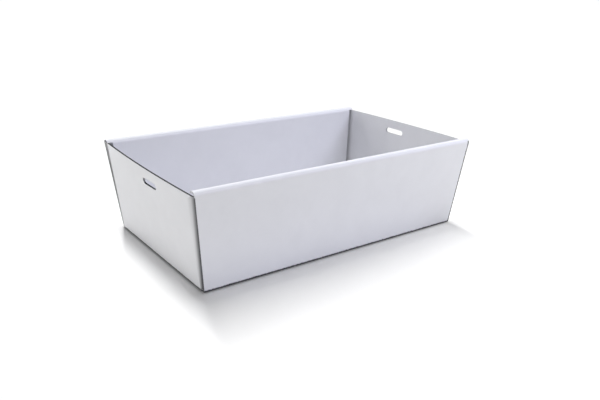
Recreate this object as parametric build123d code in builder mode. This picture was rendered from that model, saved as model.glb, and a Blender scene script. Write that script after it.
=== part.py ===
from build123d import *
import os
from math import atan, cos, pi, sin, tan

os.makedirs("parts", exist_ok=True)

# A tray folded from one sheet of corrugated board. Millimetres, +X along the tray,
# +Z up, origin on the floor at the middle of the base.

# Sheet
board = 1.5                # thickness of the corrugated board
fit_gap = 0.3              # air between two faces of the sheet that lie together

# Outside sizes, where the wall faces would meet the floor and the rim
base_length = 255.0
base_width = 153.0
top_length = 271.0
top_width = 169.0
height = 80.0

# Fold between the base and any wall
floor_fold_radius = 2.0    # outside of the bend
floor_landing = 3.0        # flat stretch of the base that each wall's strip starts with

# Long walls: an outer panel, the rim, and an inner panel that comes back down
rim_width = 8.0
rim_flat = 0.6             # flat stretch between the rim's two soft folds
foot_depth = 6.0           # both layers and the hollow together, at the base
panel_inset_low = 0.8      # the outer panels stop this far inside the end walls' faces at the base
panel_inset_high = 0.0     # and come out flush with them at the rim
inner_panel_gap = 3.0      # air between the inner panel's ends and the end walls
notch_gap = 0.5            # the inner panel is full length again this far over the end wall

# Lock tabs under the inner panels, and their slots in the base
tab_length = 30.0
tab_spacing = 120.0
tab_tip_level = 0.3        # the tabs end inside the base's thickness

# End walls: one layer, with corner flaps that run inside the long walls
end_wall_drop = 2.5        # top edge of the end wall below the rim
end_wall_start = 2.3       # level at which the wall stands clear of its floor fold
end_wall_bow = 2.0         # outward bow of the top edge at mid-width
corner_radius_low = 2.2    # outside of the corner bend, tight at the base
corner_radius_high = 4.2   # and easier at the top
flap_slack_high = 1.0      # air between a flap and the outer panel at the top
flap_length = 48.0
flap_bottom_rise = 5.0     # the flap's free end is cut shorter, so that it slides in
flap_top_fall = 9.0

# Lid slot in each end wall
slot_length = 25.0
slot_height = 6.0
slot_drop = 11.0           # middle of the slot below the end wall's top edge
slot_offset = 10.0         # off the middle, to opposite sides at the two ends

# What follows from these sizes
end_slope = (top_length - base_length) / 2 / height
side_slope = (top_width - base_width) / 2 / height
inner_slope = side_slope + (foot_depth - rim_width) / height
end_lean = atan(end_slope)
side_lean = atan(side_slope)
inner_lean = atan(inner_slope)
rim_fold_run = (rim_width - rim_flat) / 2    # each rim fold starts this far before its corner
level_board = board / cos(end_lean)    # thickness of an end wall in a level cut
end_wall_top = height - end_wall_drop
slot_level = end_wall_top - slot_drop
foot_level = board + fit_gap           # underside of the inner panels
inner_panel_inset = board + inner_panel_gap


def end_face(level):
    """Distance from the middle to the outside of an end wall at a level."""
    return base_length / 2 + end_slope * level


def side_face(level):
    """Distance from the middle to the outside of a long wall at a level."""
    return base_width / 2 + side_slope * level


def inner_face(level):
    """Distance from the middle to the face of an inner panel at a level."""
    return base_width / 2 - foot_depth + inner_slope * level


def hollow_middle(level):
    """Distance from the middle to the space between a long wall's two layers."""
    return (side_face(level) + inner_face(level)) / 2


def end_plane(inset_low, inset_high):
    """Plane inside the +X end wall's outer face by these distances at the floor and at the rim."""
    low = end_face(0) - inset_low
    lean = atan((end_face(height) - inset_high - low) / height)
    return Plane(origin=(low, 0, 0), x_dir=(0, 1, 0), z_dir=(cos(lean), 0, -sin(lean)))


def end_wall_outline(level, flap_depth, corner_radius, bow):
    """Level cut through the +X end wall and its two corner flaps."""
    face = end_face(level)
    bend = face - corner_radius
    reach = side_face(level) - flap_depth
    flat = reach - corner_radius
    flap_end = bend - flap_length
    for skin in (0, level_board):
        Line((flap_end, -reach + skin), (bend, -reach + skin))
        CenterArc((bend, -flat), corner_radius - skin, -90, 90)
        if bow > 0:
            middle = (face - skin + bow, 0)
            ThreePointArc((face - skin, -flat), middle, (face - skin, flat))
        else:
            Line((face - skin, -flat), (face - skin, flat))
        CenterArc((bend, flat), corner_radius - skin, 0, 90)
        Line((bend, reach - skin), (flap_end, reach - skin))
    for side in (-1, 1):
        Line((flap_end, side * reach), (flap_end, side * (reach - level_board)))


def inner_panel_point(level, depth):
    """Point in YZ of the -Y inner panel at a level, at a depth below its face."""
    return (-depth / cos(inner_lean) - inner_face(level), level)


def long_wall_skin(depth):
    """Line in YZ that runs all round the -Y long wall, at a depth below the sheet's outer face."""
    outer_depth = depth / cos(side_lean)
    return FilletPolyline(
        (floor_landing - base_width / 2, depth),
        (outer_depth - side_face(depth), depth),
        (outer_depth - side_face(height - depth), height - depth),
        inner_panel_point(height - depth, depth),
        inner_panel_point(foot_level, depth),
        radius=(
            floor_fold_radius - depth,
            rim_fold_run / tan((pi / 2 + side_lean) / 2) - depth,
            rim_fold_run / tan((pi / 2 - inner_lean) / 2) - depth,
        ),
    )


# End wall at +X: the fold that joins it to the base
flap_depth_low = board + fit_gap
flap_depth_high = board + flap_slack_high
end_flat = side_face(end_wall_start) - flap_depth_low - corner_radius_low

with BuildPart() as end_fold:
    with BuildSketch(Plane.XZ):
        with BuildLine():
            FilletPolyline(
                (base_length / 2 - floor_landing, 0),
                (base_length / 2, 0),
                (end_face(2 * end_wall_start), 2 * end_wall_start),
                radius=floor_fold_radius,
            )
            offset(amount=board, side=Side.LEFT)
        make_face()
    extrude(amount=end_flat, both=True)
    split(bisect_by=Plane.XY.offset(end_wall_start), keep=Keep.BOTTOM)

# End wall at +X: the wall with its corner bends and flaps, flat at the base and bowed above
flap_root = end_face(end_wall_start) - corner_radius_high
flap_tip = flap_root - flap_length - corner_radius_high

with BuildPart() as end_wall:
    with BuildSketch(Plane.XY.offset(end_wall_start)):
        with BuildLine():
            end_wall_outline(end_wall_start, flap_depth_low, corner_radius_low, 0)
        make_face()
    with BuildSketch(Plane.XY.offset(end_wall_top)):
        with BuildLine():
            end_wall_outline(end_wall_top, flap_depth_high, corner_radius_high, end_wall_bow)
        make_face()
    loft(ruled=True)
    # The flaps taper towards their free ends
    with BuildSketch(Plane.XZ):
        for root_level, tip_level in (
            (end_wall_start, end_wall_start + flap_bottom_rise),
            (end_wall_top, end_wall_top - flap_top_fall),
        ):
            with BuildLine():
                Polyline(
                    (flap_root, root_level),
                    (flap_tip, root_level),
                    (flap_tip, tip_level),
                    close=True,
                )
            make_face()
    extrude(amount=top_width, both=True, mode=Mode.SUBTRACT)
    # The lid slot is cut square to the wall
    with BuildSketch(end_plane(0, 0)):
        with Locations((slot_offset, slot_level / cos(end_lean))):
            SlotOverall(slot_length, slot_height)
    extrude(amount=2 * board + end_wall_bow, both=True, mode=Mode.SUBTRACT)

# Space that an end wall needs past the end of an inner panel
notch_top = end_wall_top + notch_gap

with BuildPart() as end_notch:
    with BuildSketch(Plane.YZ):
        with BuildLine():
            Polyline(
                (-hollow_middle(board), board),
                (-hollow_middle(notch_top), notch_top),
                (0, notch_top),
                (0, board),
                close=True,
            )
        make_face()
    extrude(amount=top_length)
    split(bisect_by=end_plane(inner_panel_inset, inner_panel_inset), keep=Keep.TOP)

# Long wall at -Y: one strip from the base up, over the rim and down to the inner panel's foot
with BuildPart() as long_wall:
    with BuildSketch(Plane.YZ):
        with BuildLine():
            outer_skin = long_wall_skin(0)
            inner_skin = long_wall_skin(board)
            Line(outer_skin @ 0, inner_skin @ 0)
            Line(outer_skin @ 1, inner_skin @ 1)
        make_face()
    extrude(amount=top_length / 2)
    split(bisect_by=end_plane(panel_inset_low, panel_inset_high), keep=Keep.BOTTOM)
    add(end_notch.part, mode=Mode.SUBTRACT)
    mirror(about=Plane.YZ)

# Lock tabs of the -Y inner panel, below its foot
with BuildPart() as lock_tabs:
    with BuildSketch(Plane.YZ.offset(tab_spacing / 2)):
        with BuildLine():
            Polyline(
                inner_panel_point(foot_level, 0),
                inner_panel_point(tab_tip_level, 0),
                inner_panel_point(tab_tip_level, board),
                inner_panel_point(foot_level, board),
                close=True,
            )
        make_face()
    extrude(amount=tab_length / 2, both=True)
    mirror(about=Plane.YZ)

# The whole sheet
tab_slot_near = inner_face(0) - fit_gap
tab_slot_far = inner_face(board) + board + fit_gap

with BuildPart() as tray:
    with BuildSketch():
        Rectangle(base_length - 2 * floor_landing, base_width - 2 * floor_landing)
    extrude(amount=board)
    for turn in (0, 180):
        for panel in (end_fold, end_wall, long_wall):
            add(panel.part, rotation=(0, 0, turn))
    # The base's slots, and the lock tabs in them
    with BuildSketch():
        with GridLocations(tab_spacing, tab_slot_near + tab_slot_far, 2, 2):
            Rectangle(tab_length + 2 * fit_gap, tab_slot_far - tab_slot_near)
    extrude(amount=board, mode=Mode.SUBTRACT)
    for turn in (0, 180):
        add(lock_tabs.part, rotation=(0, 0, turn))

tray.part.label = "tray"
export_step(tray.part, "parts/tray.step")
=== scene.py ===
import bpy, bmesh
import math
from mathutils import Matrix, Vector


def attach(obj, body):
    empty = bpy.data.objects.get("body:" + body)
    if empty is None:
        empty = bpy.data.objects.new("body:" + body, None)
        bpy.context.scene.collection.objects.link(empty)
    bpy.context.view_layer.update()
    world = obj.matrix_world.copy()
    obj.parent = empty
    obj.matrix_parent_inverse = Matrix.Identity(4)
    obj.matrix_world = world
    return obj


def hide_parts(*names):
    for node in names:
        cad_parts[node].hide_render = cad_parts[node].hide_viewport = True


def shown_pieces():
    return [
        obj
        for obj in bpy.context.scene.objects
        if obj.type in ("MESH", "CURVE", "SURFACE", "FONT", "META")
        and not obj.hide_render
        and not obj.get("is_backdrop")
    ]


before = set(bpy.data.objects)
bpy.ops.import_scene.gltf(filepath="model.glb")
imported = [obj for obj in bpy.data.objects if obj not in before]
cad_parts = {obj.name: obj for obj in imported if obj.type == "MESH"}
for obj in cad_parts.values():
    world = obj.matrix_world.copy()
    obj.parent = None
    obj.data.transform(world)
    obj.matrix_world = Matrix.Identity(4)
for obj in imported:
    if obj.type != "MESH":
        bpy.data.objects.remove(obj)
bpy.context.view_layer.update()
print("frame loaded")

# metres all through, in the frame's own axes: +X along the tray, +Z up

# the tray's own sizes, with walls that flare from the base to the rim
tray = {
    "baseLength": 0.255,
    "baseWidth": 0.153,
    "topLength": 0.271,
    "topWidth": 0.169,
    "height": 0.080,
    "board": 0.0015,          # thickness of the sheet
    "footDepth": 0.006,       # long wall's whole depth at the base
    "rimWidth": 0.008,        # and at the rim
    "endWallTop": 0.0775,     # level of the end walls' raw top edge
    "endWallBow": 0.002,      # outward bow of that edge at mid-width
    "bowHalfWidth": 0.0775,
    "outerInsetLow": 0.0008,  # raw end of an outer panel, inside the end wall's face
    "outerInsetHigh": 0.0,    # and flush with it at the rim
    "innerInset": 0.0045,     # raw end of an inner panel
    "foldRadius": 0.002,      # outside of the bottom folds
    "bendStart": 0.0023,      # level where the end walls' corner bends start
    "bendRadiusLow": 0.0022,
    "bendRadiusHigh": 0.0042,
    "flapDepthLow": 0.0018,   # the corner flaps lie this far inside the long walls' faces
    "flapDepthHigh": 0.0025,
    "slotPlace": (0.1358, 0.010, 0.0663),  # the +X slot's middle on the outer face
    "slotLength": 0.025,
    "slotHeight": 0.006,
}
# the lid slots as the photo shows them: a little smaller, one higher and one lower
lidSlot = {
    "length": 0.0232,
    "height": 0.0049,
    "lift": {1: 0.0010, -1: -0.0005},  # by the end's sign
}
endSlope = (tray["topLength"] - tray["baseLength"]) / 2 / tray["height"]
sideSlope = (tray["topWidth"] - tray["baseWidth"]) / 2 / tray["height"]
innerSlope = sideSlope + (tray["footDepth"] - tray["rimWidth"]) / tray["height"]
endLean = math.atan(endSlope)
sideLean = math.atan(sideSlope)


def signOf(value):
    return 1 if value > 0 else -1


def clamp(value, low=0, high=1):
    return max(low, min(high, value))


def endFace(level):
    return tray["baseLength"] / 2 + endSlope * level


def sideFace(level):
    return tray["baseWidth"] / 2 + sideSlope * level


def outerInset(level):
    change = tray["outerInsetHigh"] - tray["outerInsetLow"]
    return tray["outerInsetLow"] + change * level / tray["height"]


def innerInset(level):
    return tray["innerInset"]


def bendRise(level):
    return (level - tray["bendStart"]) / (tray["endWallTop"] - tray["bendStart"])


def bendRadius(level):
    change = tray["bendRadiusHigh"] - tray["bendRadiusLow"]
    return tray["bendRadiusLow"] + change * bendRise(level)


def bendEdge(level):
    # where the flat of an end wall ends and its corner bend starts
    change = tray["flapDepthHigh"] - tray["flapDepthLow"]
    depth = tray["flapDepthLow"] + change * bendRise(level)
    return sideFace(level) - depth - bendRadius(level)


# small helpers for edit mode
def openEdit(piece):
    bpy.ops.object.select_all(action="DESELECT")
    piece.select_set(True)
    bpy.context.view_layer.objects.active = piece
    bpy.ops.object.mode_set(mode="EDIT")
    bpy.ops.mesh.select_mode(type="FACE")
    bpy.ops.mesh.select_all(action="DESELECT")


def pickFaces(piece, isWanted):
    bpy.ops.mesh.select_all(action="DESELECT")
    mesh = bmesh.from_edit_mesh(piece.data)
    for face in mesh.faces:
        if isWanted(face):
            face.select_set(True)
    mesh.select_flush_mode()
    bmesh.update_edit_mesh(piece.data)


def closeEdit():
    bpy.ops.object.mode_set(mode="OBJECT")


# materials
def newMaterial(name):
    material = bpy.data.materials.new(name)
    material.use_nodes = True
    nodes = material.node_tree.nodes
    return material, nodes, material.node_tree.links, nodes["Principled BSDF"]


def addMath(nodes, links, operation, first, second):
    node = nodes.new("ShaderNodeMath")
    node.operation = operation
    for socket, value in zip(node.inputs, (first, second)):
        if isinstance(value, (int, float)):
            socket.default_value = value
        else:
            links.new(value, socket)
    return node.outputs[0]


def addNoise(nodes, links, coords, scale, detail):
    noise = nodes.new("ShaderNodeTexNoise")
    noise.inputs["Scale"].default_value = scale
    noise.inputs["Detail"].default_value = detail
    links.new(coords.outputs["Object"], noise.inputs["Vector"])
    return noise


def addTones(nodes, links, noise, spots, tones):
    # a darker tone below the first spot of the noise and a lighter one above the second
    ramp = nodes.new("ShaderNodeValToRGB")
    for element, spot, tone in zip(ramp.color_ramp.elements, spots, tones):
        element.position = spot
        element.color = (*tone, 1)
    links.new(noise.outputs["Fac"], ramp.inputs["Fac"])
    return ramp.outputs["Color"]


def addMix(nodes, links, share, first, second):
    mix = nodes.new("ShaderNodeMix")
    mix.data_type = "RGBA"
    links.new(share, mix.inputs["Factor"])
    for socket, value in (("A", first), ("B", second)):
        if isinstance(value, tuple):
            mix.inputs[socket].default_value = (*value, 1)
        else:
            links.new(value, mix.inputs[socket])
    return mix.outputs["Result"]


def addBump(nodes, links, height, depth, normal=None):
    bump = nodes.new("ShaderNodeBump")
    bump.inputs["Strength"].default_value = 1
    bump.inputs["Distance"].default_value = depth
    links.new(height, bump.inputs["Height"])
    if normal:
        links.new(normal, bump.inputs["Normal"])
    return bump.outputs["Normal"]


whiteLook = {
    "paper": (0.720, 0.722, 0.736),
    "paperShade": (0.704, 0.706, 0.720),  # darker patches of the mottling
    "mottleScale": 60,
    "mottleDetail": 6,
    "mottleRoughness": 0.6,
    "mottleSpots": (0.35, 0.62),
    "foldShadeTone": (0.040, 0.040, 0.044),  # painted shade along the bottom folds and at some panels' raw ends
    "shadeBreakScale": 700,
    "shadeBreakDetail": 3,
    "shadeBreakSpread": 0.8,       # how unevenly that painted shade ends
    "shadeBreakEdge": (0.35, 0.65),
    "paintedShadeTone": (0.12, 0.12, 0.125),       # painted shade at the end walls' corner bends, the rims and the base inside
    "roughness": 0.55,
    "specular": 0.3,
    "fibreScale": 2600,
    "fibreDetail": 3,
    "fibreDepth": 0.000012,
    "flutePitch": 0.0033,
    "washboardDepth": 0.000010,
    "waveScale": 14,
    "waveDetail": 1,
    "waveDepth": 0.0006,
}


def coatedPaper():
    look = whiteLook
    material, nodes, links, shader = newMaterial("white_coated_board")
    shader.inputs["Roughness"].default_value = look["roughness"]
    shader.inputs["Specular IOR Level"].default_value = look["specular"]
    coords = nodes.new("ShaderNodeTexCoord")

    # mottled paper
    mottle = addNoise(nodes, links, coords, look["mottleScale"], look["mottleDetail"])
    mottle.inputs["Roughness"].default_value = look["mottleRoughness"]
    tone = addTones(nodes, links, mottle, look["mottleSpots"],
                    (look["paperShade"], look["paper"]))

    # painted shade at the corner bends, the rims and the base inside
    bend = nodes.new("ShaderNodeAttribute")
    bend.attribute_name = "paintedShade"
    shadedTone = addMix(nodes, links, bend.outputs["Fac"], tone, look["paintedShadeTone"])

    # painted shade: dark along the bottom folds and at some panels' raw ends, broken a little
    # unevenly by noise
    lineShade = nodes.new("ShaderNodeAttribute")
    lineShade.attribute_name = "paintedLineShade"
    grain = addNoise(nodes, links, coords, look["shadeBreakScale"], look["shadeBreakDetail"])
    uneven = addMath(nodes, links, "MULTIPLY_ADD", grain.outputs["Fac"], look["shadeBreakSpread"])
    uneven.node.inputs[2].default_value = -look["shadeBreakSpread"] / 2
    sharp = nodes.new("ShaderNodeMapRange")
    low, high = look["shadeBreakEdge"]
    sharp.inputs["From Min"].default_value = low
    sharp.inputs["From Max"].default_value = high
    links.new(addMath(nodes, links, "ADD", lineShade.outputs["Fac"], uneven), sharp.inputs["Value"])
    colour = addMix(nodes, links, sharp.outputs["Result"], shadedTone, look["foldShadeTone"])
    links.new(colour, shader.inputs["Base Color"])

    # relief: the sheet's slow waves, flutes that show through the liner, and paper fibre
    slow = addNoise(nodes, links, coords, look["waveScale"], look["waveDetail"])
    fibre = addNoise(nodes, links, coords, look["fibreScale"], look["fibreDetail"])
    across = nodes.new("ShaderNodeUVMap")
    across.uv_map = "flute"
    split = nodes.new("ShaderNodeSeparateXYZ")
    links.new(across.outputs["UV"], split.inputs["Vector"])
    turn = addMath(nodes, links, "MULTIPLY", split.outputs["Y"], 2 * math.pi / look["flutePitch"])
    flutes = addMath(nodes, links, "SINE", turn, 0)
    normal = addBump(nodes, links, slow.outputs["Fac"], look["waveDepth"])
    normal = addBump(nodes, links, flutes, look["washboardDepth"], normal)
    normal = addBump(nodes, links, fibre.outputs["Fac"], look["fibreDepth"], normal)
    links.new(normal, shader.inputs["Normal"])
    return material


rawLook = {
    # darker and lighter tone of each edge: the left end wall's are near black, painted shade of
    # the open flutes
    "tones": ((0.015, 0.015, 0.018), (0.05, 0.05, 0.053)),
    "panelTones": ((0.11, 0.11, 0.115), (0.20, 0.20, 0.205)),  # the long walls' ends get less of that painted shade
    "plainTones": ((0.42, 0.42, 0.43), (0.62, 0.62, 0.64)),    # the right end wall's are left unshaded
    # painted shade: the darker medium stands for the shade among the flutes, the plain one is its
    # own tone
    "medium": ((0.05, 0.05, 0.055), (0.14, 0.14, 0.145)),
    "plainMedium": ((0.38, 0.38, 0.39), (0.55, 0.55, 0.56)),
    "grainScale": 1500,
    "grainDetail": 4,
    "grainSpots": (0.3, 0.7),
    "roughness": 0.9,
    "specular": 0.1,
    "relief": 0.00006,
}


def rawPaper(name, tones):
    look = rawLook
    material, nodes, links, shader = newMaterial(name)
    shader.inputs["Roughness"].default_value = look["roughness"]
    shader.inputs["Specular IOR Level"].default_value = look["specular"]
    coords = nodes.new("ShaderNodeTexCoord")
    grain = addNoise(nodes, links, coords, look["grainScale"], look["grainDetail"])
    links.new(addTones(nodes, links, grain, look["grainSpots"], look[tones]),
              shader.inputs["Base Color"])
    links.new(addBump(nodes, links, grain.outputs["Fac"], look["relief"]),
              shader.inputs["Normal"])
    return material


whiteBoard = coatedPaper()
# painted shade: the dark cut edges and the dark medium stand for the shade in the open flutes
rawEdge = rawPaper("cut_edge_painted_shade", "tones")
plainEdge = rawPaper("plain_cut_edge", "plainTones")
panelEdge = rawPaper("panel_cut_edge_painted_shade", "panelTones")
shadedMedium = rawPaper("fluting_medium", "medium")
plainMedium = rawPaper("plain_fluting_medium", "plainMedium")
print("materials ready")

# the folded sheet: the CAD sheet's own form as one closed skin
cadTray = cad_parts["tray"]
sheetMaterials = (whiteBoard, rawEdge, plainEdge, panelEdge)
skin = {
    "weld": 0.000001,         # points this near are one
    "flatAngle": 0.001,       # edges flatter than this go
    "smoothAngle": 28,        # folds are shaded smooth up to this many degrees
}


def copySheet():
    sheet = cadTray.copy()
    sheet.data = cadTray.data.copy()
    sheet.name = "folded_sheet"
    sheet.data.name = "folded_sheet"
    # a copy of a node carries the node's own marks
    for key in list(sheet.keys()):
        del sheet[key]
    bpy.context.scene.collection.objects.link(sheet)
    sheet.data.materials.clear()
    for material in sheetMaterials:
        sheet.data.materials.append(material)
    openEdit(sheet)
    bpy.ops.mesh.select_all(action="SELECT")
    bpy.ops.mesh.remove_doubles(threshold=skin["weld"])
    bpy.ops.mesh.dissolve_limited(angle_limit=skin["flatAngle"])
    bpy.ops.mesh.select_all(action="SELECT")
    bpy.ops.mesh.normals_make_consistent(inside=False)
    closeEdit()
    return sheet


# raw cut edges: the flutes are open where a straight stretch of board is cut across them,
# and crushed in the folds
mouth = {
    "liner": 0.00025,         # each face paper's thickness
    "depth": 0.0022,          # how far in the open flutes are modelled
    "bendClearance": 0.0008,  # open stretch's distance from the folds at its ends
    "slotDepth": 0.0016,      # the same in the lid slots
    "panelStart": 0.0030,     # levels between which the long walls' panels are straight
    "panelEnd": 0.0758,
    "endShadeReach": 0.0024,        # painted shade darkens the liner within this distance of a panel's raw end
}

# painted shade: how dark the liner is along the bottom folds and the panels' raw ends, and how
# grey at the bends, rims and base
crease = {
    "darkLevel": 0.0012,      # fully dark up to this level
    "shadeFadeLevel": 0.0029,     # and without shade from here
    "endShadeDepth": 0.0006,    # a raw end's painted shade reaches this far in from its outer face
    "bendStartShade": 0.35,
    "bendFullTurn": 1.4,      # radians of a corner bend that add a full shade
    "rimShade": 0.16,         # the rolled rims get a little painted shade too
    "rimDepth": 0.0012,
    "baseShade": 0.13,        # and so does the base inside
    # a corner bend's painted shade starts this far before it, at the floor and at the top edge
    "wideGrey": (0.002, 0.006),
    "narrowGrey": (0.0016, 0.0016),
}


# how near a face or a point has to lie, to be one of a kind
near = {
    "level": 0.0001,
    "panelEnd": 0.00008,      # to the plane of a panel's raw end
    "bend": 0.0002,
    "bendEdge": 0.0003,
    "outerSkin": 0.0010,      # to a long wall's outer face
    "endSkin": 0.0004,        # to an end wall's
    "slotRing": 0.003,        # to the middle of a lid slot, out of the wall
    "slotEnd": 0.0005,        # past its round ends
    "slotPoint": 0.004,
}
# shares of a normal that tell which way a face looks
facing = {
    "up": 0.99,
    "mostlyUp": 0.7,
    "endwards": 0.985,
    "bowed": 0.97,            # the end walls' faces, with their bow
    "aside": 0.3,
}
# rough places that tell the faces of a kind apart
whereabouts = {
    "layers": 0.069,          # both layers of a long wall lie further out than this
    "endWalls": 0.12,         # and the end walls further than this
    "topMiddle": 0.02,        # half of a stretch at the middle of an end wall's top edge
    "panelMiddle": (0.02, 0.06),
    "insideWall": 0.0018,     # an end wall's own points lie this far inside the long walls
}


def isEndWallTop(face):
    centre = face.calc_center_median()
    return face.normal.z > facing["up"] and abs(centre.z - tray["endWallTop"]) < near["level"]


def isPanelEnd(face, inset):
    centre = face.calc_center_median()
    if abs(face.normal.x) < facing["endwards"] or face.normal.x * centre.x < 0:
        return False
    return abs(centre.y) >= whereabouts["layers"] and all(
        abs(endFace(vert.co.z) - inset(vert.co.z) - abs(vert.co.x)) < near["panelEnd"]
        and abs(vert.co.y) > whereabouts["layers"]
        for vert in face.verts
    )


def isOuterEnd(face):
    # the end walls' corner bends touch the same plane near the rim
    widest = max(abs(vert.co.y) - sideFace(vert.co.z) for vert in face.verts)
    return isPanelEnd(face, outerInset) and widest > -near["bend"]


def isInnerEnd(face):
    return isPanelEnd(face, innerInset)


def isOuterSkin(face):
    centre = face.calc_center_median()
    outwards = face.normal.y * signOf(centre.y)
    return outwards > facing["aside"] and abs(centre.y) > sideFace(centre.z) - near["outerSkin"]


def isEndSkin(face):
    centre = face.calc_center_median()
    outwards = face.normal.x * signOf(centre.x)
    if outwards < facing["endwards"] or abs(centre.x) < endFace(centre.z) - near["endSkin"]:
        return False
    return all(
        abs(vert.co.y) < bendEdge(vert.co.z) + near["bendEdge"]
        and vert.co.z > tray["bendStart"] - near["level"]
        for vert in face.verts
    )


def isPaleEnd(face):
    # at the left the back inner panel's end is left unshaded, and so is the front rim's
    centre = face.calc_center_median()
    if centre.x > 0:
        return False
    if centre.y > 0:
        return isInnerEnd(face)
    return isOuterEnd(face) and centre.z > mouth["panelEnd"]


def isSlotRing(face):
    centre = face.calc_center_median()
    place = Vector(tray["slotPlace"])
    if abs(face.normal.x) > facing["aside"] or abs(abs(centre.x) - place.x) > near["slotRing"]:
        return False
    along = abs(signOf(centre.x) * centre.y - place.y)
    reach = tray["slotLength"] / 2 + near["slotEnd"]
    return along < reach and abs(centre.z - place.z) < tray["slotHeight"]


def slotPoint(end, along, rise, outwards):
    # point of a lid slot from its middle on the wall's outer face
    middle = Vector(tray["slotPlace"])
    up = Vector((math.sin(endLean), 0, math.cos(endLean)))
    away = Vector((math.cos(endLean), 0, -math.sin(endLean)))
    point = middle + up * (rise + lidSlot["lift"][end]) + away * outwards + Vector((0, along, 0))
    return Vector((end * point.x, end * point.y, point.z))


def narrowSlots(piece):
    straight = (tray["slotLength"] - tray["slotHeight"]) / 2
    newStraight = (lidSlot["length"] - lidSlot["height"]) / 2
    shrink = lidSlot["height"] / tray["slotHeight"]
    for vert in piece.data.vertices:
        end = signOf(vert.co.x)
        offset = Vector((end * vert.co.x, end * vert.co.y, vert.co.z)) - Vector(tray["slotPlace"])
        rise = offset.x * math.sin(endLean) + offset.z * math.cos(endLean)
        outwards = offset.x * math.cos(endLean) - offset.z * math.sin(endLean)
        kept = clamp(offset.y, -straight, straight)
        aside = offset.y - kept
        fromRing = math.hypot(aside, rise) - tray["slotHeight"] / 2
        if abs(outwards) > near["slotPoint"] or abs(fromRing) > near["level"]:
            continue
        along = kept * newStraight / straight + aside * shrink
        vert.co = slotPoint(end, along, rise * shrink, outwards)


def isPlainEdge(face):
    # at the left the top edge keeps its painted shade, and so does the slot's lower edge
    if face.calc_center_median().x > 0:
        return isEndWallTop(face) or isSlotRing(face)
    return isSlotRing(face) and face.normal.z < facing["mostlyUp"]


def paintFaces(piece, isWanted, material):
    pickFaces(piece, isWanted)
    piece.active_material_index = sheetMaterials.index(material)
    bpy.ops.object.material_slot_assign()


def cutFaces(piece, isWanted, place, normal):
    pickFaces(piece, isWanted)
    bpy.ops.mesh.bisect(plane_co=place, plane_no=normal)


def pushIn(move):
    # leaves the liners standing and moves what is between them
    bpy.ops.mesh.inset(thickness=mouth["liner"], use_boundary=True, use_even_offset=True)
    bpy.ops.mesh.extrude_region_move(TRANSFORM_OT_translate={"value": move})


def openFlutes(sheet):
    openEdit(sheet)
    for isRaw, material in (
        (isEndWallTop, rawEdge),
        (isSlotRing, rawEdge),
        (isOuterEnd, panelEdge),
        (isInnerEnd, panelEdge),
        (isPlainEdge, plainEdge),
    ):
        paintFaces(sheet, isRaw, material)

    # an edge all round, just above the painted shade of the bottom folds
    cutFaces(sheet, lambda face: True, (0, 0, mouth["panelStart"]), (0, 0, 1))

    # end walls' top edges, between the corner bends
    straight = tray["bowHalfWidth"] - mouth["bendClearance"]
    for side in (-1, 1):
        cutFaces(sheet, isEndWallTop, (0, side * straight, 0), (0, 1, 0))
    lean = endSlope + tray["endWallBow"] / tray["endWallTop"] / 2
    for end in (-1, 1):
        pickFaces(sheet, lambda face: isEndWallTop(face)
                  and end * face.calc_center_median().x > 0
                  and abs(face.calc_center_median().y) < whereabouts["topMiddle"])
        pushIn((-end * lean * mouth["depth"], 0, -mouth["depth"]))

    # long walls' panels, at all eight ends
    lowest, highest = whereabouts["panelMiddle"]
    for isEnd in (isOuterEnd, isInnerEnd):
        for level in (mouth["panelStart"], mouth["panelEnd"]):
            cutFaces(sheet, isEnd, (0, 0, level), (0, 0, 1))
        paintFaces(sheet, isPaleEnd, plainEdge)
        for end in (-1, 1):
            pickFaces(sheet, lambda face: isEnd(face)
                      and end * face.calc_center_median().x > 0
                      and lowest < face.calc_center_median().z < highest)
            pushIn((-end * mouth["depth"], 0, 0))

    # strips of the outer liner along those ends, where painted shade darkens it
    slope = endSlope + (tray["outerInsetLow"] - tray["outerInsetHigh"]) / tray["height"]
    lean = math.atan(slope)
    for end in (-1, 1):
        cutFaces(
            sheet, isOuterSkin,
            (end * (endFace(0) - outerInset(0) - mouth["endShadeReach"]), 0, 0),
            (end * math.cos(lean), 0, -math.sin(lean)),
        )

    # edges on the end walls' outer skin, where the painted shade of the corner bends starts
    for end, side in ((-1, -1), (-1, 1), (1, -1), (1, 1)):
        low, high = crease["wideGrey"] if end * side > 0 else crease["narrowGrey"]
        reach = bendEdge(0) - low
        lean = math.atan((bendEdge(tray["endWallTop"]) - high - reach) / tray["endWallTop"])
        cutFaces(
            sheet, lambda face: isEndSkin(face) and end * face.calc_center_median().x > 0,
            (0, side * reach, 0),
            (0, side * math.cos(lean), -math.sin(lean)),
        )

    # lid slots
    pickFaces(sheet, isSlotRing)
    bpy.ops.mesh.inset(thickness=mouth["liner"], use_boundary=True, use_even_offset=True)
    bpy.ops.mesh.extrude_region_shrink_fatten(
        TRANSFORM_OT_shrink_fatten={"value": -mouth["slotDepth"]})
    closeEdit()


sheet = copySheet()
narrowSlots(sheet)
openFlutes(sheet)
print("raw edges opened")


def paintedFoldShade(place):
    # painted shade: only the outer skin of a bottom fold is darkened, not the inside of the tray
    share = (crease["shadeFadeLevel"] - place.z) / (crease["shadeFadeLevel"] - crease["darkLevel"])
    radius = tray["foldRadius"]
    for reach, lean, along in (
        (tray["baseLength"] / 2, endLean, abs(place.x)),
        (tray["baseWidth"] / 2, sideLean, abs(place.y)),
    ):
        middle = reach - radius * math.tan((math.pi / 2 - lean) / 2)
        if along > middle - near["level"]:
            fromMiddle = math.hypot(along - middle, min(place.z, radius) - radius)
            if fromMiddle > radius - tray["board"] / 2:
                return clamp(share)
    return 0


def paintedEndShade(place):
    # painted shade: one raw end of each outer panel is darkened on its outer liner, the one at
    # the right of its face
    if place.x * place.y > 0:
        return 0
    atEnd = abs(endFace(place.z) - outerInset(place.z) - abs(place.x)) < near["panelEnd"]
    atSkin = abs(place.y) > sideFace(place.z) - crease["endShadeDepth"]
    return 1 if atEnd and atSkin else 0


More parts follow.
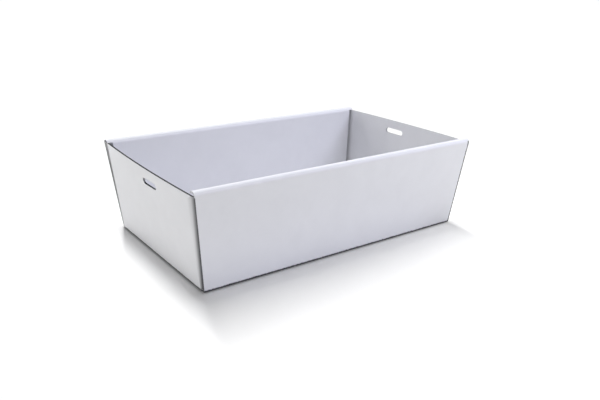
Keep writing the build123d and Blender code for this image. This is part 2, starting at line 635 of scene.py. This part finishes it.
def paintedShade(place):
    # painted shade of the rims, of the base inside and of the end walls' corner bends, outer side
    if place.z > tray["height"] - crease["rimDepth"]:
        return crease["rimShade"]
    beyond = max(abs(place.x) - tray["baseLength"] / 2, abs(place.y) - tray["baseWidth"] / 2)
    if abs(place.z - tray["board"]) < near["level"] and beyond < -tray["board"]:
        return crease["baseShade"]
    if not tray["bendStart"] - near["level"] < place.z < tray["endWallTop"] + near["level"]:
        return 0
    radius = bendRadius(place.z)
    ahead = abs(place.x) - (endFace(place.z) - radius)
    aside = abs(place.y) - bendEdge(place.z)
    if aside < -near["bend"] or ahead < 0:
        return 0
    if abs(math.hypot(ahead, aside) - radius) > tray["board"] / 2:
        return 0
    turn = math.atan2(max(0, aside), ahead)
    return min(1, crease["bendStartShade"] + turn / crease["bendFullTurn"])


def markSheet(piece):
    mesh = piece.data
    lineShade = mesh.attributes.new("paintedLineShade", "FLOAT", "POINT")
    shade = mesh.attributes.new("paintedShade", "FLOAT", "POINT")
    for vert in mesh.vertices:
        lineShade.data[vert.index].value = max(paintedFoldShade(vert.co), paintedEndShade(vert.co))
        shade.data[vert.index].value = paintedShade(vert.co)
    # the flutes run across the second coordinate
    flute = mesh.uv_layers.new(name="flute")
    for face in mesh.polygons:
        normal = face.normal
        for corner in face.loop_indices:
            place = mesh.vertices[mesh.loops[corner].vertex_index].co
            if abs(normal.z) > facing["mostlyUp"]:
                flute.data[corner].uv = (place.x, place.y)
            elif abs(normal.y) > abs(normal.x):
                flute.data[corner].uv = (place.x, place.z)
            else:
                flute.data[corner].uv = (place.z, place.y)


# the left end wall's top edge isn't level: its near end sits lower
skew = {
    "nearDrop": 0.0018,
    "farRise": 0.0004,
    "startLevel": 0.0735,     # the wall below this is untouched
}


def skewTop(place):
    inside = endFace(place.z) - abs(place.x)
    beside = sideFace(place.z) - abs(place.y)
    if place.x > 0 or place.z > tray["endWallTop"] + near["level"]:
        return place
    if inside > tray["bendRadiusHigh"] + near["bend"] or beside < whereabouts["insideWall"]:
        return place
    run = tray["endWallTop"] - skew["startLevel"]
    share = clamp((place.z - skew["startLevel"]) / run)
    across = clamp(place.y / tray["bowHalfWidth"], -1, 1)
    both, apart = skew["farRise"] - skew["nearDrop"], skew["farRise"] + skew["nearDrop"]
    lift = share * (both + across * apart) / 2
    return Vector((place.x - endSlope * lift, place.y, place.z + lift))


def wallNormal(place, outwards):
    # normal of the bowed end wall at a point
    rise = max(0, bendRise(place.z))
    edge = bendEdge(place.z)
    across = 2 * tray["endWallBow"] * rise * place.y / edge ** 2
    lean = endSlope
    if rise > 0:
        run = tray["endWallTop"] - tray["bendStart"]
        lean += tray["endWallBow"] / run * (1 - (place.y / edge) ** 2)
    return outwards * Vector((signOf(place.x), across, -lean)).normalized()


def finishSheet(piece):
    bpy.ops.object.select_all(action="DESELECT")
    piece.select_set(True)
    bpy.context.view_layer.objects.active = piece
    bpy.ops.object.shade_smooth_by_angle(angle=math.radians(skin["smoothAngle"]))
    modifier = piece.modifiers.new("even_shading", "WEIGHTED_NORMAL")
    modifier.keep_sharp = True
    bpy.ops.object.modifier_apply(modifier=modifier.name)
    # the end walls are bowed a little, which their flat triangles would show
    mesh = piece.data
    normals = [corner.vector.copy() for corner in mesh.corner_normals]
    for face in mesh.polygons:
        isWhite = sheetMaterials[face.material_index] == whiteBoard
        isEndWall = (abs(face.normal.x) >= facing["bowed"]
                     and abs(face.center.x) >= whereabouts["endWalls"])
        places = [mesh.vertices[index].co for index in face.vertices]
        past = max(abs(place.y) - bendEdge(place.z) for place in places)
        if not isWhite or not isEndWall or past > near["bendEdge"]:
            continue
        outwards = signOf(face.normal.x * face.center.x)
        for corner in face.loop_indices:
            place = mesh.vertices[mesh.loops[corner].vertex_index].co
            normals[corner] = wallNormal(place, outwards)
    mesh.normals_split_custom_set(normals)


markSheet(sheet)
for vert in sheet.data.vertices:
    vert.co = skewTop(vert.co)
finishSheet(sheet)
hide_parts("tray")
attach(sheet, "root")
print("sheet done")

# the wavy medium inside the open edges
wave = {
    "pitch": 0.0033,
    "steps": 8,               # faces along one flute
    "swing": 0.00040,         # half the wave's height
    "thickness": 0.00018,
    "inset": 0.00025,         # the wave starts this far behind the cut
    "weld": 0.00001,
    "smoothAngle": 50,
}


def shapeWave(name, count, depth):
    # X along the edge, Y into the board, Z through its thickness
    bpy.ops.object.select_all(action="DESELECT")
    bpy.ops.mesh.primitive_grid_add(x_subdivisions=wave["steps"], y_subdivisions=1, size=1)
    strip = bpy.context.object
    strip.name = name
    strip.data.name = name
    openEdit(strip)
    bpy.ops.mesh.select_all(action="SELECT")
    bpy.ops.transform.resize(value=(wave["pitch"], depth, 1))
    bpy.ops.transform.translate(value=(wave["pitch"] * (0.5 - count / 2), depth / 2, 0))
    mesh = bmesh.from_edit_mesh(strip.data)
    for vert in mesh.verts:
        vert.co.z = wave["swing"] * math.sin(2 * math.pi * vert.co.x / wave["pitch"])
    bmesh.update_edit_mesh(strip.data)
    closeEdit()
    row = strip.modifiers.new("row", "ARRAY")
    row.use_relative_offset = False
    row.use_constant_offset = True
    row.constant_offset_displace = (wave["pitch"], 0, 0)
    row.count = count
    row.use_merge_vertices = True
    row.merge_threshold = wave["weld"]
    bpy.ops.object.modifier_apply(modifier=row.name)
    paper = strip.modifiers.new("paper", "SOLIDIFY")
    paper.thickness = wave["thickness"]
    paper.offset = 0
    bpy.ops.object.modifier_apply(modifier=paper.name)
    bpy.ops.object.shade_smooth_by_angle(angle=math.radians(wave["smoothAngle"]))
    return strip


def copyWave(pattern, name, medium, place):
    # place turns (along, into, through) into a point of the tray
    strip = pattern.copy()
    strip.data = pattern.data.copy()
    strip.name = name
    strip.data.name = name
    bpy.context.scene.collection.objects.link(strip)
    strip.data.materials.append(medium)
    for vert in strip.data.vertices:
        vert.co = place(vert.co.x, vert.co.y, vert.co.z)
    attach(strip, "root")
    return strip


def faceOutwards(strip):
    openEdit(strip)
    bpy.ops.mesh.select_all(action="SELECT")
    bpy.ops.mesh.normals_make_consistent(inside=False)
    closeEdit()


def endName(value):
    return "right" if value > 0 else "left"


def layFlutes():
    half = tray["board"] / 2
    depth = mouth["depth"] - wave["inset"]
    topRun = 2 * (tray["bowHalfWidth"] - mouth["bendClearance"] - mouth["liner"])
    topWave = shapeWave("top_wave", int(topRun / wave["pitch"]), depth)
    panelRun = mouth["panelEnd"] - mouth["panelStart"] - 2 * mouth["liner"]
    panelWave = shapeWave("panel_wave", int(panelRun / wave["pitch"]), depth)
    slotRun = lidSlot["length"] - lidSlot["height"]
    slotWave = shapeWave("slot_wave", int(slotRun / wave["pitch"]),
                         mouth["slotDepth"] - wave["inset"])
    made = []
    panelMiddle = (mouth["panelStart"] + mouth["panelEnd"]) / 2

    # painted shade: the medium is dark at the left end and plain at the right
    for end, endMedium in ((-1, shadedMedium), (1, plainMedium)):
        def topPlace(along, into, through):
            bow = tray["endWallBow"] * (1 - (along / tray["bowHalfWidth"]) ** 2)
            level = tray["endWallTop"] - wave["inset"] - into
            reach = endFace(level) - half + through + bow * level / tray["endWallTop"]
            return skewTop(Vector((end * reach, along, level)))

        name = f"end_wall_fluting_{endName(end)}"
        made.append(copyWave(topWave, name, endMedium, topPlace))
        for side in (-1, 1):
            for layer, inset, spread, slope in (
                ("outer", outerInset, tray["baseWidth"] / 2 - half, sideSlope),
                ("inner", innerInset,
                 tray["baseWidth"] / 2 - tray["footDepth"] + half, innerSlope),
            ):
                def panelPlace(along, into, through):
                    level = panelMiddle + along
                    reach = endFace(level) - inset(level) - wave["inset"]
                    return Vector((
                        end * (reach - into),
                        side * (spread + slope * level + through),
                        level,
                    ))

                name = f"{layer}_panel_fluting_{endName(end)}_{'back' if side > 0 else 'front'}"
                isPale = layer == "inner" and end < 0 < side
                medium = plainMedium if isPale else shadedMedium
                made.append(copyWave(panelWave, name, medium, panelPlace))
        for edge in (-1, 1):
            def slotPlace(along, into, through):
                rise = edge * (lidSlot["height"] / 2 + wave["inset"] + into)
                return slotPoint(end, along, rise, through - half)

            name = f"slot_fluting_{endName(end)}_{'upper' if edge > 0 else 'lower'}"
            made.append(copyWave(slotWave, name, endMedium, slotPlace))
    for strip in made:
        faceOutwards(strip)
    for pattern in (topWave, panelWave, slotWave):
        bpy.data.objects.remove(pattern)


layFlutes()
print("fluting laid")


# camera, at the photograph's place
shot = {
    "azimuth": -36.05,
    "elevation": 19.60,
    "roll": 1.03,
    "distance": 0.5962,
    "target": (0.0147, 0.00405, 0.01948),
    "focalPixels": 647.8,     # for a frame 600 pixels wide
    "frameWidth": 600,
    "sensor": 36.0,
}


def placeCamera():
    azimuth = math.radians(shot["azimuth"])
    elevation = math.radians(shot["elevation"])
    roll = math.radians(shot["roll"])
    back = Vector((
        math.sin(azimuth) * math.cos(elevation),
        -math.cos(azimuth) * math.cos(elevation),
        math.sin(elevation),
    ))
    level = Vector((math.cos(azimuth), math.sin(azimuth), 0))
    upright = back.cross(level)
    side = math.cos(roll) * level + math.sin(roll) * upright
    up = -math.sin(roll) * level + math.cos(roll) * upright
    bpy.ops.object.camera_add()
    camera = bpy.context.object
    camera.name = "photo_camera"
    camera.data.sensor_width = shot["sensor"]
    camera.data.lens = shot["focalPixels"] / shot["frameWidth"] * shot["sensor"]
    turn = Matrix((side, up, back)).transposed().to_4x4()
    place = Vector(shot["target"]) + shot["distance"] * back
    camera.matrix_world = Matrix.Translation(place) @ turn
    bpy.context.scene.camera = camera


placeCamera()
print("camera placed")

# studio
studio = {
    "floorSize": 12.0,
    "floorColour": (0.95, 0.95, 0.95),
    "floorRoughness": 0.9,
    "skyStrength": 0.35,
    "skyColour": (1.0, 1.0, 1.0),
    "frontSkyColour": (0.99, 0.99, 1.05),  # the light from the front is a little bluer
    "keyStrength": 2.34,      # whole fan of lamps together
    "keyLamps": 12,
    "keyLean": (0.07, 0.94),  # tangents of the first and last lamp's lean towards the back
    "keyDrift": (-0.04, 0.22),  # and towards +X
    "keyAngle": 3.0,
    "topStrength": 0.24,
    "topAngle": 12.0,
    "topLean": 0.05,
    "lampDistance": 2,
}


def layFloor():
    bpy.ops.mesh.primitive_plane_add(size=studio["floorSize"], location=(0, 0, 0))
    floor = bpy.context.object
    floor.name = "studio_floor"
    material, nodes, links, shader = newMaterial("pale_floor")
    shader.inputs["Base Color"].default_value = (*studio["floorColour"], 1)
    shader.inputs["Roughness"].default_value = studio["floorRoughness"]
    shader.inputs["Specular IOR Level"].default_value = 0
    floor.data.materials.append(material)
    floor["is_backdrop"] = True
    return floor


def lightSky():
    world = bpy.data.worlds.new("studio_sky")
    bpy.context.scene.world = world
    world.use_nodes = True
    nodes = world.node_tree.nodes
    links = world.node_tree.links
    sky = nodes["Background"]
    sky.inputs["Strength"].default_value = studio["skyStrength"]
    coords = nodes.new("ShaderNodeTexCoord")
    split = nodes.new("ShaderNodeSeparateXYZ")
    links.new(coords.outputs["Generated"], split.inputs["Vector"])
    frontShare = addMath(nodes, links, "MULTIPLY", split.outputs["Y"], -1)
    tint = addMix(nodes, links, frontShare, studio["skyColour"], studio["frontSkyColour"])
    links.new(tint, sky.inputs["Color"])

    # the background is seen as plain white
    white = nodes.new("ShaderNodeBackground")
    white.inputs["Color"].default_value = (1, 1, 1, 1)
    white.inputs["Strength"].default_value = 1
    path = nodes.new("ShaderNodeLightPath")
    seen = addMath(nodes, links, "MAXIMUM",
                   path.outputs["Is Camera Ray"], path.outputs["Is Glossy Ray"])
    through = addMath(nodes, links, "MAXIMUM", seen, path.outputs["Is Transmission Ray"])
    mix = nodes.new("ShaderNodeMixShader")
    links.new(through, mix.inputs["Fac"])
    links.new(sky.outputs[0], mix.inputs[1])
    links.new(white.outputs[0], mix.inputs[2])
    links.new(mix.outputs[0], nodes["World Output"].inputs["Surface"])


def hangSun(name, drift, lean, strength, angle):
    towards = Vector((drift, lean, 1)).normalized()
    bpy.ops.object.light_add(type="SUN", location=towards * studio["lampDistance"])
    lamp = bpy.context.object
    lamp.name = name
    lamp.data.energy = strength
    lamp.data.angle = math.radians(angle)
    lamp.rotation_euler = towards.to_track_quat("Z", "Y").to_euler()


def hangKeyLamps():
    # a fan from overhead to the back right, for the long soft shadow ahead of the tray
    leanNear, leanFar = studio["keyLean"]
    driftNear, driftFar = studio["keyDrift"]
    for index in range(studio["keyLamps"]):
        share = (index + 0.5) / studio["keyLamps"]
        lean = leanNear + share * (leanFar - leanNear)
        drift = driftNear + share * (driftFar - driftNear)
        hangSun(f"key_lamp_{index + 1}", drift, lean,
                studio["keyStrength"] / studio["keyLamps"], studio["keyAngle"])
    hangSun("top_lamp", studio["topLean"], studio["topLean"],
            studio["topStrength"], studio["topAngle"])


# soft cards: all but the floor card light the tray alone, and only the tray shades them
cards = {
    "over_right_card": {
        "place": (0.40, -0.30, 0.50), "aim": (-0.03, 0.07, 0.05), "size": (0.3, 0.3),
        "power": 2.20, "colour": (0.76, 0.775, 0.96)},
    "overhead_card": {
        "place": (0.06, -0.10, 0.60), "aim": (0.03, 0.06, 0.0), "size": (0.32, 0.08),
        "power": 0.62, "colour": (0.75, 0.77, 1.0)},
    "front_bounce": {
        "place": (-0.035, -0.110, -0.024), "aim": (-0.035, -0.078, 0.022), "size": (0.24, 0.02),
        "power": 0.0285, "colour": (0.78, 0.80, 1.0)},
    "left_card": {
        "place": (-0.40, 0.35, 0.20), "aim": (-0.13, 0.05, 0.06), "size": (0.2, 0.2),
        "power": 0.62, "colour": (1.0, 1.0, 1.0)},
    "left_bounce": {
        "place": (-0.22, -0.08, -0.020), "aim": (-0.13, -0.05, 0.02), "size": (0.12, 0.05),
        "power": 0.0155, "colour": (1.0, 1.0, 1.0)},
    "floor_card": {
        "place": (0.26, -0.22, 0.16), "aim": (0.15, -0.12, 0.0), "size": (0.12, 0.12),
        "power": 0.26, "colour": (1.0, 1.0, 1.0)},
}


def hangCards(floor):
    subject = bpy.data.collections.new("tray_alone")
    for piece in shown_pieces():
        subject.objects.link(piece)
    ground = bpy.data.collections.new("floor_alone")
    ground.objects.link(floor)
    for name, card in cards.items():
        bpy.ops.object.light_add(type="AREA", location=card["place"])
        lamp = bpy.context.object
        lamp.name = name
        lamp.data.shape = "RECTANGLE"
        lamp.data.size, lamp.data.size_y = card["size"]
        lamp.data.energy = card["power"]
        lamp.data.color = card["colour"]
        away = Vector(card["place"]) - Vector(card["aim"])
        lamp.rotation_euler = away.to_track_quat("Z", "Y").to_euler()
        lamp.visible_camera = False
        lamp.light_linking.receiver_collection = ground if name == "floor_card" else subject
        lamp.light_linking.blocker_collection = subject


floor = layFloor()
lightSky()
hangKeyLamps()
hangCards(floor)
print("studio lit")

bpy.context.scene.view_settings.view_transform = "Standard"
